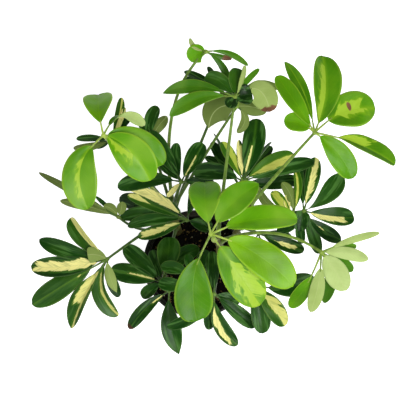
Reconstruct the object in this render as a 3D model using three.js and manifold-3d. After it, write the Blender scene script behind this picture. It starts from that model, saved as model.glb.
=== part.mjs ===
// A variegated dwarf umbrella plant in a black nursery pot.
//
// Millimetres, +Z up. The origin is the middle of the pot's underside, +Y is the back of the plant.
// Three woody stems stand in the soil. Every compound leaf is one solid of its own: a petiole that
// starts just off a stem, a hub, and a ring of stalked leaflets that fan out from the hub.

import * as THREE from 'three';
import { mergeVertices } from 'three/addons/utils/BufferGeometryUtils.js';
import Module from 'manifold-3d';

const wasm = await Module();
wasm.setup();

// ---------------------------------------------------------------- driving dimensions

// Clearance between pieces that touch on the real plant.
const GAP = 0.3;

// Pot: a moulded cup with a stiff turned-out rim and a ring of drain holes.
const POT_HEIGHT = 120;
const POT_RIM_RADIUS = 65;
const POT_BASE_RADIUS = 47;
const POT_WALL = 1.6;
const POT_FLOOR = 2.4;
const POT_RIM_BAND = 9;
const POT_RIM_STEP = 2.4;
const POT_SIDES = 56;
const DRAIN_HOLES = 6;
const DRAIN_RADIUS = 5;
const DRAIN_RING = 33;

// Soil: fills the pot to a little below the rim.
const SOIL_TOP = 105;
const SOIL_DOME = 3;
const SOIL_EDGE_DROP = 4;
const SOIL_SIDES = 40;

// Stems: foot in the soil, bend and top, with the radius at the foot and at the top.
const STEM_BURIED = 45;
const STEM_SIDES = 10;
const STEM_STEPS = 8;
const STEM_ROOT_FLARE = 1.35;
const STEMS = {
  middle: { path: [[28, 6], [27, 3], [21, 1]], top: 330, footRadius: 5.2, topRadius: 2.9 },
  left: { path: [[-23, 40], [-28, 50], [-27, 50]], top: 235, footRadius: 4.8, topRadius: 2.7 },
  right: { path: [[40, 20], [51, 30], [57, 39]], top: 298, footRadius: 4.8, topRadius: 2.7 },
};

// Petioles, hubs and leaflet stalks.
const PETIOLE_SIDES = 6;
const PETIOLE_STEPS = 5;
const PETIOLE_FOOT_RADIUS = 2.1;
const PETIOLE_HUB_RADIUS = 1.3;
const PETIOLE_ARCH = 0.1;
const HUB_RADIUS = 3.2;
const STALK_SHARE = 0.17;
const STALK_RADIUS = 0.9;

// Leaflet blades. The outline gives the width at a place along the leaflet as a share of the widest.
const BLADE_THICKNESS = 0.9;
const BLADE_FOLD = 0.16;
const BLADE_ARCH = 0.1;
const BLADE_OUTLINE = [
  { at: 0, share: 0 },
  { at: STALK_SHARE, share: 0.12 },
  { at: 0.44, share: 0.8 },
  { at: 0.76, share: 1 },
  { at: 1, share: 0.3 },
];

const COLOURS = {
  pot: '#1b1c1d',
  soil: '#3a2a20',
  bark: '#7d7a52',
  young: '#8fbf2a',
  mature: '#2f5f2c',
  pale: '#a3b07a',
};

// Each leaf: the stem it grows from and the height where it leaves it, its hub, its colour, and its
// leaflets as [bearing in degrees, reach, width, rise of the tip, roll in degrees about its length,
// sway, arch]. Sway and arch, where given, draw the middle of the leaflet to the right and up by
// that share of its reach. A petiole that curves round its neighbours has a bend, the point that
// draws it aside.
const LEAVES = {
  leaf_crown_young: {
    stem: 'middle', from: 322, hub: [16, -7, 395], colour: 'young',
    leaflets: [
      [96, 61, 34, -24, 0, -0.07, 0.4], [47, 70, 30, -8, -8, -0.16], [11, 88, 30, -14, -22, -0.14],
      [328, 95, 35, -11, 0, -0.14], [306, 86, 37, -24, 0], [261, 86, 38, -18, 0, 0.22],
    ],
  },
  leaf_upper_left_young: {
    stem: 'left', from: 224, hub: [-91, 94, 385], bend: [-68, 78, 296], colour: 'young',
    leaflets: [
      [99, 56, 32, -26, 0, -0.04, 0.4], [16, 43, 16, -6, -25, -0.64], [317, 65, 37, -16, 8, -0.2],
      [337, 68, 30, -24, -10, -0.25], [258, 75, 36, -16, 0, 0.41],
    ],
  },
  leaf_upper_left_old: {
    stem: 'left', from: 212, hub: [-88, 104, 322], colour: 'mature',
    leaflets: [
      [175, 39, 8, -8, -20, 0.06], [192, 41, 9, 0, 175, -0.13], [195, 22, 9, -10, -40],
      [79, 49, 10, -6, 20, 0.07], [70, 39, 6, -4, 0, 0.07], [58, 40, 10, -10, 0],
    ],
  },
  leaf_upper_left_inner: {
    stem: 'left', from: 204, hub: [-49, 111, 292], colour: 'mature',
    leaflets: [
      [79, 41, 15, -8, 0, -0.21], [57, 33, 13, -4, 180, -0.07], [322, 21, 15, -12, 0],
      [114, 29, 11, -6, 0], [213, 34, 16, -16, 0],
    ],
  },
  leaf_left_grey: {
    stem: 'left', from: 160, hub: [-84, 31, 270], bend: [-62, 24, 150], colour: 'mature',
    leaflets: [
      [150, 103, 9, -10, 200], [163, 69, 11, -12, 180, 0.05], [143, 20, 12, 0, 180, 0.24],
      [77, 17, 11, 0, 180, 0.14], [137, 35, 5, -6, 0],
    ],
  },
  leaf_left_cream: {
    stem: 'left', from: 196, hub: [-96, -14, 262], colour: 'mature',
    leaflets: [
      [132, 63, 22, -8, -30, -0.12], [163, 81, 19, -14, -4, -0.09], [184, 87, 24, -18, 0, -0.1],
      [210, 97, 26, -18, 0], [242, 85, 27, -16, 28, 0.08], [281, 63, 23, -14, 30, 0.4],
      [287, 38, 12, 2, 180, 0.12], [288, 43, 13, -8, 0, 0.12], [170, 22, 18, 6, 180, 0.18],
    ],
  },
  leaf_centre_left: {
    stem: 'left', from: 188, hub: [-10, 30, 255], colour: 'mature',
    leaflets: [
      [176, 76, 17, -14, 0, 0.14], [185, 66, 15, -8, 8, 0.12], [197, 58, 15, -12, 0, -0.07],
      [345, 30, 16, -8, 0], [80, 49, 13, -4, 30, 0.06], [153, 78, 12, 12, -10, 0.16],
      [157, 71, 13, 0, 0], [163, 64, 14, -14, 0], [157, 94, 22, -42, 0],
    ],
  },
  leaf_left_star: {
    stem: 'left', from: 230, hub: [-15, 63, 304], colour: 'mature',
    leaflets: [
      [97, 45, 13, -8, 0, -0.15], [63, 50, 20, -8, 0], [121, 68, 18, -10, 0], [135, 36, 11, -14, 0],
      [183, 70, 20, -14, 0, 0.13], [225, 22, 7, -6, 0], [356, 38, 15, -12, 0, -0.09],
    ],
  },
  leaf_upper_middle: {
    stem: 'right', from: 262, hub: [50, 61, 316], bend: [54, 78, 292], colour: 'mature',
    leaflets: [
      [30, 63, 18, -8, -8, -0.07], [18, 82, 17, -16, 0, -0.03], [78, 71, 25, -6, 0, 0.07],
      [55, 53, 9, -4, -60, -0.03], [95, 46, 9, -4, 0], [117, 49, 14, -4, 20],
      [167, 56, 20, -14, 0, 0.17],
    ],
  },
  leaf_upper_middle_lower: {
    stem: 'right', from: 246, hub: [46, 67, 272], colour: 'mature',
    leaflets: [
      [121, 57, 13, -8, 0], [115, 63, 8, -2, 60], [139, 48, 11, -6, 0, 0.12],
      [6, 70, 17, -12, 0, 0.06], [49, 58, 13, -8, 0],
    ],
  },
  leaf_back: {
    stem: 'middle', from: 305, hub: [40, 133, 385], colour: 'mature',
    leaflets: [
      [174, 74, 15, -12, 0, 0.22], [195, 68, 17, -8, 0, 0.25], [142, 39, 18, -8, 0, 0.22],
      [86, 33, 16, -6, 0], [72, 34, 8, 4, 230, 0.14], [51, 40, 7, -4, 30, -0.08],
      [13, 18, 22, -2, 0], [341, 39, 28, -10, 180, -0.83], [241, 15, 14, 6, 0],
    ],
  },
  leaf_back_pale: {
    stem: 'left', from: 220, hub: [43, 133, 350], colour: 'pale',
    leaflets: [
      [353, 32, 18, -8, 180, -0.13], [215, 37, 33, -10, 180, 0.54], [270, 27, 10, -6, 180, -0.62],
      [21, 50, 9, 0, 180, -0.56],
    ],
  },
  leaf_back_small: {
    stem: 'left', from: 199, hub: [28, 155, 325], colour: 'mature',
    leaflets: [
      [116, 35, 7, -8, 0], [149, 47, 10, -4, 20, 0.04], [158, 45, 11, -6, 0], [270, 16, 14, -10, 0],
      [346, 25, 14, -10, 0],
    ],
  },
  leaf_far_back: {
    stem: 'left', from: 210, hub: [11, 187, 365], bend: [-42, 146, 344], colour: 'mature',
    leaflets: [
      [209, 19, 21, -8, 0, 0.33], [136, 23, 6, -4, 200, -0.34], [344, 46, 7, -8, 40, -0.24],
      [348, 28, 6, -6, 40, 0.09], [307, 44, 8, -14, 20, -0.23],
    ],
  },
  leaf_upper_right_young: {
    stem: 'right', from: 292, hub: [120, 98, 380], colour: 'mature',
    leaflets: [
      [155, 34, 21, -8, 0, 0.18], [121, 72, 19, -8, 0], [110, 84, 14, -14, 0, 0.11],
      [83, 84, 33, -10, 16, 0.15], [24, 70, 38, -12, 0, -0.22], [340, 88, 26, -14, -32, -0.1],
      [311, 60, 25, -14, 0, -0.14],
    ],
  },
  leaf_right_cream: {
    stem: 'right', from: 246, hub: [115, 33, 296], colour: 'mature',
    leaflets: [
      [77, 62, 17, -8, 0, 0.04], [46, 61, 22, -10, 0, 0.2], [355, 56, 21, -12, 0, 0.08],
      [324, 52, 16, -14, 0, 0.16], [291, 49, 14, -14, 0], [268, 36, 11, -14, 0, 0.18],
      [215, 36, 13, -10, 0, -0.22], [259, 22, 19, -3, 0, 0.09], [86, 59, 11, -16, 0, -0.09],
    ],
  },
  leaf_right_inner: {
    stem: 'right', from: 262, hub: [102, 27, 312], colour: 'mature',
    leaflets: [
      [86, 52, 9, -8, 10, 0.16], [107, 37, 12, -6, 170, 0.22], [95, 24, 8, -6, 0, -0.38],
      [128, 34, 13, -8, 0, -0.09], [136, 54, 10, -24, 180, -0.32], [78, 53, 10, -14, 0],
    ],
  },
  leaf_right_pale: {
    stem: 'middle', from: 290, hub: [128, -18, 345], bend: [82, 17, 338], colour: 'pale',
    leaflets: [
      [19, 65, 8, -8, 200, -0.05], [352, 49, 14, -6, 180, -0.12], [304, 47, 26, -12, 180, -0.06],
      [260, 62, 16, -14, 180, -0.08], [240, 67, 16, -26, 0, -0.11], [276, 60, 13, -36, 0, -0.26],
      [13, 42, 9, -16, 0], [335, 42, 13, -18, 0],
    ],
  },
  leaf_front: {
    stem: 'middle', from: 180, hub: [20, -49, 232], colour: 'mature',
    leaflets: [
      [93, 49, 16, -6, 0], [295, 62, 18, -10, 0, 0.27], [322, 59, 17, -12, 0],
      [262, 41, 14, -14, 0, 0.08], [345, 31, 15, -10, 0], [214, 64, 14, -8, 0, -0.24],
      [218, 27, 13, -14, 0],
    ],
  },
  leaf_front_right: {
    stem: 'middle', from: 205, hub: [61, -41, 248], colour: 'mature',
    leaflets: [
      [283, 54, 22, -10, 0, -0.07], [309, 57, 22, -8, 0, -0.1], [6, 71, 26, -8, 0, 0.17],
    ],
  },
  leaf_low_left: {
    stem: 'left', from: 136, hub: [-40, -29, 176], colour: 'mature',
    leaflets: [
      [136, 62, 22, -8, 0], [166, 62, 24, -8, 0], [216, 30, 15, -8, 0, 0.04],
      [80, 53, 28, -2, 0, 0.06], [108, 42, 15, -12, 0], [43, 59, 20, -6, 0, -0.2],
    ],
  },
  leaf_low_front: {
    stem: 'middle', from: 146, hub: [-31, -41, 190], colour: 'mature',
    leaflets: [
      [223, 63, 16, -8, 0, 0.12], [279, 73, 24, -12, 0, 0.12],
    ],
  },
  leaf_inner_right: {
    stem: 'right', from: 225, hub: [68, 12, 276], colour: 'mature',
    leaflets: [
      [341, 53, 16, -10, 0, 0.07], [355, 39, 13, -14, 0], [277, 32, 15, -12, 0],
      [236, 38, 16, -12, 0],
    ],
  },
  leaf_low_inner: {
    stem: 'middle', from: 158, hub: [0, -30, 199], colour: 'mature',
    leaflets: [
      [159, 43, 16, -2, 0, 0.23], [182, 43, 17, -4, 0, -0.21], [110, 32, 12, 0, 0],
      [73, 40, 16, -12, 0],
    ],
  },
};

// ---------------------------------------------------------------- solids and meshes

const UP = new THREE.Vector3(0, 0, 1);
const BACK = new THREE.Vector3(0, 1, 0);

function vector([x, y, z]) {
  return new THREE.Vector3(x, y, z);
}

// A closed three.js geometry as a solid that can be cut and joined.
function solidOf(geometry) {
  const bare = geometry.clone();
  bare.deleteAttribute('normal');
  bare.deleteAttribute('uv');
  const merged = mergeVertices(bare, 1e-4);
  const vertProperties = Float32Array.from(merged.attributes.position.array);
  const triVerts = Uint32Array.from(merged.index.array);
  return new wasm.Manifold(new wasm.Mesh({ numProp: 3, vertProperties, triVerts }));
}

function meshOf(name, solid, colour, roughness) {
  const { numProp, vertProperties, triVerts } = solid.getMesh();
  const geometry = new THREE.BufferGeometry();
  const interleaved = new THREE.InterleavedBuffer(vertProperties, numProp);
  geometry.setAttribute('position', new THREE.InterleavedBufferAttribute(interleaved, 3, 0));
  geometry.setIndex(new THREE.BufferAttribute(triVerts, 1));
  const material = new THREE.MeshStandardMaterial({ color: colour, roughness, metalness: 0 });
  const mesh = new THREE.Mesh(geometry, material);
  mesh.name = name;
  return mesh;
}

// Splits the squares of every second side the other way, so that the two faces of a flat rod fold
// along the same lines and never cross.
function splitAlike(rod, sides, steps) {
  const corners = rod.index.array;
  for (let side = 1; side < sides; side += 2) {
    for (let step = 0; step < steps; step += 1) {
      const start = 6 * (side * steps + step);
      const [a, b, d, , c] = corners.slice(start, start + 6);
      corners.set([a, b, c, a, c, d], start);
    }
  }
}

// A rod along a curve. Each station says how far along the curve it is, as a share, with its half
// sizes across and through. level is a direction that the rod never runs along. fold lifts both
// edges by that share of the half width, as a blade folds at its midrib.
function rodAlong(curve, sides, stations, { level = UP, roll = 0, fold = 0 } = {}) {
  const steps = stations.length - 1;
  const rod = new THREE.CylinderGeometry(1, 1, 1, sides, steps);
  splitAlike(rod, sides, steps);
  const position = rod.attributes.position;
  const point = new THREE.Vector3();
  for (let i = 0; i < position.count; i += 1) {
    point.fromBufferAttribute(position, i);
    const { at: share, across, through } = stations[Math.round((point.y + 0.5) * steps)];
    const centre = curve.getPoint(share);
    const along = curve.getTangent(share);
    const side = new THREE.Vector3().crossVectors(along, level).normalize();
    const top = new THREE.Vector3().crossVectors(side, along);
    side.applyAxisAngle(along, roll);
    top.applyAxisAngle(along, roll);
    centre.addScaledVector(side, point.x * across);
    centre.addScaledVector(top, point.z * through + Math.abs(point.x) * fold * across);
    position.setXYZ(i, centre.x, centre.y, centre.z);
  }
  return solidOf(rod);
}

// Evenly spaced round stations, with the radius a function of the share of the length.
function roundStations(steps, radiusAt) {
  return Array.from({ length: steps + 1 }, (_, step) => {
    const at = step / steps;
    return { at, across: radiusAt(at), through: radiusAt(at) };
  });
}

// ---------------------------------------------------------------- pot and soil

// The pot's outer radius at a height, below its rim band.
function potRadius(height) {
  const below = POT_RIM_RADIUS - POT_RIM_STEP;
  return THREE.MathUtils.lerp(POT_BASE_RADIUS, below, height / POT_HEIGHT);
}

function makePot() {
  const bandFoot = POT_HEIGHT - POT_RIM_BAND;
  const inner = (height) => potRadius(height) - POT_WALL;
  const profile = [
    [0, 0],
    [POT_BASE_RADIUS - 2, 0],
    [POT_BASE_RADIUS, 2],
    [potRadius(bandFoot), bandFoot],
    [POT_RIM_RADIUS - 0.6, bandFoot],
    [POT_RIM_RADIUS, POT_HEIGHT - 1],
    [POT_RIM_RADIUS - 1, POT_HEIGHT],
    [inner(POT_HEIGHT), POT_HEIGHT],
    [inner(POT_FLOOR), POT_FLOOR],
    [0, POT_FLOOR],
  ];
  const points = profile.map(([radius, height]) => new THREE.Vector2(radius, height));
  const cup = new THREE.LatheGeometry(points, POT_SIDES);
  cup.rotateX(Math.PI / 2);
  let pot = solidOf(cup);
  for (let i = 0; i < DRAIN_HOLES; i += 1) {
    const angle = (i / DRAIN_HOLES) * 2 * Math.PI;
    const hole = new THREE.CylinderGeometry(DRAIN_RADIUS, DRAIN_RADIUS, 4 * POT_FLOOR, 12);
    hole.rotateX(Math.PI / 2);
    hole.translate(DRAIN_RING * Math.cos(angle), DRAIN_RING * Math.sin(angle), 0);
    pot = pot.subtract(solidOf(hole));
  }
  return pot;
}

function makeSoil(stemSockets) {
  const clearance = POT_WALL + GAP;
  const foot = POT_FLOOR + GAP;
  const edge = SOIL_TOP - SOIL_EDGE_DROP;
  const profile = [
    [0, foot],
    [potRadius(foot) - clearance, foot],
    [potRadius(edge) - clearance, edge],
    [potRadius(edge) * 0.8, SOIL_TOP - 1],
    [potRadius(edge) * 0.4, SOIL_TOP + SOIL_DOME - 1],
    [0, SOIL_TOP + SOIL_DOME],
  ];
  const points = profile.map(([radius, height]) => new THREE.Vector2(radius, height));
  const fill = new THREE.LatheGeometry(points, SOIL_SIDES);
  fill.rotateX(Math.PI / 2);
  return stemSockets.reduce((soil, socket) => soil.subtract(socket), solidOf(fill));
}

// ---------------------------------------------------------------- stems

function stemCurve({ path, top }) {
  const foot = SOIL_TOP - STEM_BURIED;
  const [start, bend, end] = path;
  return new THREE.CatmullRomCurve3([
    vector([start[0], start[1], foot]),
    vector([start[0], start[1], SOIL_TOP]),
    vector([bend[0], bend[1], (SOIL_TOP + top) / 2]),
    vector([end[0], end[1], top]),
  ]);
}

function stemRadius(stem, share) {
  const flare = 1 + (STEM_ROOT_FLARE - 1) * Math.max(0, 1 - 3 * share);
  return THREE.MathUtils.lerp(stem.footRadius, stem.topRadius, share) * flare;
}

function makeStem(stem, extra = 0) {
  const stations = roundStations(STEM_STEPS, (share) => stemRadius(stem, share) + extra);
  return rodAlong(stemCurve(stem), STEM_SIDES, stations, { level: BACK });
}

// The share of a stem's length at a height, found by halving.
function stemShareAt(curve, height) {
  let low = 0;
  let high = 1;
  for (let i = 0; i < 30; i += 1) {
    const middle = (low + high) / 2;
    if (curve.getPoint(middle).z < height) {
      low = middle;
    } else {
      high = middle;
    }
  }
  return (low + high) / 2;
}

// ---------------------------------------------------------------- leaves

// The petiole starts just off the stem and arches over to the hub, or bends where its leaf says.
function makePetiole(leaf) {
  const stem = STEMS[leaf.stem];
  const axis = stemCurve(stem);
  const share = stemShareAt(axis, leaf.from);
  const onAxis = axis.getPoint(share);
  const hub = vector(leaf.hub);
  const outward = hub.clone().sub(onAxis).setZ(0).normalize();
  const standOff = stemRadius(stem, share) + PETIOLE_FOOT_RADIUS + GAP;
  const foot = onAxis.clone().addScaledVector(outward, standOff);
  const reach = hub.distanceTo(foot);
  const middle = foot.clone().lerp(hub, 0.5).addScaledVector(UP, PETIOLE_ARCH * reach);
  const bend = leaf.bend ? vector(leaf.bend) : middle;
  const curve = new THREE.QuadraticBezierCurve3(foot, bend, hub);
  const radiusAt = (at) => THREE.MathUtils.lerp(PETIOLE_FOOT_RADIUS, PETIOLE_HUB_RADIUS, at);
  return rodAlong(curve, PETIOLE_SIDES, roundStations(PETIOLE_STEPS, radiusAt));
}

function makeHub(leaf) {
  const ball = new THREE.OctahedronGeometry(HUB_RADIUS, 1);
  ball.scale(1, 1, 0.8);
  ball.translate(...leaf.hub);
  return solidOf(ball);
}

// One leaflet with its stalk: a four-sided rod flattened into a folded blade.
function makeLeaflet(hub, [bearing, reach, width, rise, roll, sway = 0, arch = BLADE_ARCH]) {
  const angle = THREE.MathUtils.degToRad(bearing);
  const level = Math.sqrt(reach * reach - rise * rise);
  const ahead = vector([Math.cos(angle), Math.sin(angle), 0]);
  const right = ahead.clone().cross(UP);
  const tip = hub.clone().addScaledVector(ahead, level).addScaledVector(UP, rise);
  const middle = hub.clone().lerp(tip, 0.5);
  middle.addScaledVector(right, sway * reach).addScaledVector(UP, arch * reach);
  const curve = new THREE.QuadraticBezierCurve3(hub, middle, tip);
  const stations = BLADE_OUTLINE.map(({ at, share }) => ({
    at,
    across: Math.max(STALK_RADIUS, (share * width) / 2),
    through: at > STALK_SHARE ? BLADE_THICKNESS / 2 : STALK_RADIUS,
  }));
  return rodAlong(curve, 4, stations, { roll: THREE.MathUtils.degToRad(roll), fold: BLADE_FOLD });
}

function makeLeaf(leaf) {
  const hub = vector(leaf.hub);
  const leaflets = leaf.leaflets.map((leaflet) => makeLeaflet(hub, leaflet));
  return wasm.Manifold.union([makePetiole(leaf), makeHub(leaf), ...leaflets]);
}

// ---------------------------------------------------------------- the plant

const group = new THREE.Group();
const stems = Object.entries(STEMS);
const sockets = stems.map(([, stem]) => makeStem(stem, GAP));

group.add(meshOf('pot', makePot(), COLOURS.pot, 0.45));
group.add(meshOf('soil', makeSoil(sockets), COLOURS.soil, 1));
for (const [side, stem] of stems) {
  group.add(meshOf(`stem_${side}`, makeStem(stem), COLOURS.bark, 0.8));
}
for (const [name, leaf] of Object.entries(LEAVES)) {
  group.add(meshOf(name, makeLeaf(leaf), COLOURS[leaf.colour], 0.4));
}

export default group;
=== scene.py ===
"""A variegated dwarf umbrella plant in a black nursery pot, seen from nearly straight above.

Every compound leaf is a piece of its own: a stalk, a hub and a ring of blades on short stalks. The
places are those of the frame, in millimetres in the tables and in metres in the meshes.
"""

import math
import random

import bpy
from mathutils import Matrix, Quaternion, Vector, noise


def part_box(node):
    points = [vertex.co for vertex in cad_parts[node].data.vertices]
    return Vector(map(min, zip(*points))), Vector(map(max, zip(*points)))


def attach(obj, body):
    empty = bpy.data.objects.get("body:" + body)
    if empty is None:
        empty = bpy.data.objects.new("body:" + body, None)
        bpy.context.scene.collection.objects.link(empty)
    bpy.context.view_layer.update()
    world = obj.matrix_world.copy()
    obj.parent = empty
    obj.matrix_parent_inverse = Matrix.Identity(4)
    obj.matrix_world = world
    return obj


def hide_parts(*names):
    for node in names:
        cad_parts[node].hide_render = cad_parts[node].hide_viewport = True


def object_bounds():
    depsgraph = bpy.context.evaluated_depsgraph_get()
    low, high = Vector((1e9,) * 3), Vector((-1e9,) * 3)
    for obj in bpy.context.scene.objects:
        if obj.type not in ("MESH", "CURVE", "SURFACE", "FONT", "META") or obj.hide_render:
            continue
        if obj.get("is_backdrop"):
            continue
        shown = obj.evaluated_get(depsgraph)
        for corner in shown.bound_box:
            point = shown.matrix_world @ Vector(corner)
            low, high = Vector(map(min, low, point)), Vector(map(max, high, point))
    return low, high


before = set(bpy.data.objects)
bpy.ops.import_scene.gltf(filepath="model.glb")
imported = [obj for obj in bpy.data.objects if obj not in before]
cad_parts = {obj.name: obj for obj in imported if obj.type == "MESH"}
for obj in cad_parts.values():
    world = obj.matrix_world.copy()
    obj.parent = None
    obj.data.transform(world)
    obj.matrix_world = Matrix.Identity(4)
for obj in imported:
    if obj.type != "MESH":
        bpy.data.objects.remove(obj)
cad_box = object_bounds()

MM = 0.001
UP = Vector((0, 0, 1))
BACK = Vector((0, 1, 0))

# ---------------------------------------------------------------- sizes

# Pot: rim and height come from the frame.
POT_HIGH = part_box("pot")[1]
POT_HEIGHT = POT_HIGH.z
POT_RIM = POT_HIGH.x
POT_BASE = 47 * MM
POT_WALL = 1.5 * MM
POT_EDGE = 0.5 * MM
RIM_BAND = 9 * MM
RIM_STEP = 2.4 * MM
FOOT_BAND = 3 * MM
FOOT_RING = 4 * MM
DRAIN_HOLES = 6
DRAIN_RADIUS = 5 * MM
DRAIN_RING = 33 * MM

# Soil: its top and edge come from the frame. Lumps: how close they are and how high, in mm. Crumbs:
# least and largest size in mm, and the shares of dark crumbs, chips of bark and white grains.
SOIL_LOW, SOIL_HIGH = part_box("soil")
SOIL_EDGE = SOIL_HIGH.x
SOIL_SIDE = SOIL_HIGH.z - 7 * MM
SOIL_TAPER = 0.78
SOIL_RINGS = 26
SOIL_LUMPS = [(70, 1.3), (190, 1.0), (460, 0.6)]
CRUMBS = 900
CRUMB_SIZE = (0.7, 1.9)
CRUMB_MIX = (0.66, 0.27, 0.07)
CHIP_SIZE = 1.25

# Stems, as in the frame: foot, bend and end across, height of the top, radius at foot and top.
STEM_FOOT = 60
SOIL_TOP = 105
STEMS = {
    "middle": {"path": [(28, 6), (27, 3), (21, 1)], "top": 330, "radii": (5.2, 2.9)},
    "left": {"path": [(-23, 40), (-28, 50), (-27, 50)], "top": 235, "radii": (4.8, 2.7)},
    "right": {"path": [(40, 20), (51, 30), (57, 39)], "top": 298, "radii": (4.8, 2.7)},
}

# What a stem's radius is multiplied by at its foot, the share of its length that rounds off at the
# top, and its swellings: each adds a share of the radius over a share of the length.
ROOT_FLARE = 1.35
STEM_TIP = 0.02
NODE_SWELL, NODE_SPAN = 0.16, 0.012
SCAR_SWELL, SCAR_SPAN = 0.07, 0.006
LEAF_SCARS = (0.22, 0.27, 0.33, 0.38, 0.44, 0.5, 0.57, 0.64, 0.71, 0.79, 0.87)
BARK_ROUGHNESS = 0.5 * MM

# Leaf stalks from sheath to head, hubs, and the little stalks, or twigs, that carry the blades. A
# twig runs past the bare share of its blade's length, so that it ends inside the blade.
STALK_FOOT = 2.1
STALK_HUB = 1.3
STALK_ARCH = 0.1
SHEATH_SWELL, SHEATH_SPAN = 0.75, 0.035
HEAD_SWELL, HEAD_SPAN = 0.5, 0.02
HUB_RADIUS = 2.5 * MM
HUB_TONE = 0.6
TWIG_RUN = (0, 0.6, 1.25)
TWIG_FOOT = 1.25
TWIG_TAPER = 0.55

# Blades. Their waves run through this angle over the length, and the last four are shares of half
# the width: how high waves and dents are, the least half width, and how soft the fold is.
BLADE_ARCH = 0.1
BLADE_FOLD = 15
BLADE_THICKNESS = 0.5
WAVE_ANGLE = 8
WAVE = (0.03, 0.07)
DENT = 0.04
LEAST_HALF = 0.03
SOFT_FOLD = 0.1

# Light and camera, in metres and watts. Each lamp has its place, its aim, its power and its size.
WALL_GLOW = 0.6
CEILING_GLOW = 0.13
CEILING_FROM = 0.6
LAMPS = {
    "window": ((0.5, -0.5, 1.6), (0, 0.05, 0.3), 22, 0.8),
    "fill": ((-0.9, -0.25, 1.3), (0, 0, 0.25), 4.5, 1.2),
}
CAMERA_AIM = Vector((13.2, 44.3, 250)) * MM
CAMERA_DISTANCE = 1.3
CAMERA_TILT = math.radians(10)
CAMERA_LENS = 102.1

# ---------------------------------------------------------------- leaves


def blade(bearing, reach, width, rise, roll=0, **more):
    """One leaflet: where it points, its length and width, how far its tip rises, and its roll about
    its length. It may also have: twist, more roll towards the tip; sway and arch, how far its middle
    is drawn to the right and up; fold, how steeply its halves rise from the midrib; stalk, the share
    of its length that is bare; widest, where it is widest; point, 0.5 for a round tip and near 1 for
    a sharp one; tone, its age colour; left and right, the cream on each half as (start, end, reach);
    brown, how much of its tip has dried, or, below 0, how far along it a scar lies."""
    part = {"bearing": bearing, "reach": reach, "width": width, "rise": rise, "roll": roll}
    return part | more


def leaf(stem, height, hub, tone, blades, bend=None, stalk=None):
    """One compound leaf: its stem and the height where it leaves it, the hub, the age colour from 0,
    new and lime green, to 1, old and dark, its blades and the point that its stalk bends towards."""
    usual = {
        "twist": 0,
        "sway": 0,
        "arch": BLADE_ARCH,
        "fold": BLADE_FOLD,
        "widest": 0.57 if tone < 0.4 else 0.61,
        "point": 0.5,
        "stalk": stalk or (0.18 if tone < 0.4 else 0.12),
        "tone": tone,
        "left": (0, 1, 0),
        "right": (0, 1, 0),
        "brown": 0,
    }
    whole = [usual | part for part in blades]
    return {"stem": stem, "height": height, "hub": hub, "tone": tone, "blades": whole, "bend": bend}


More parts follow.
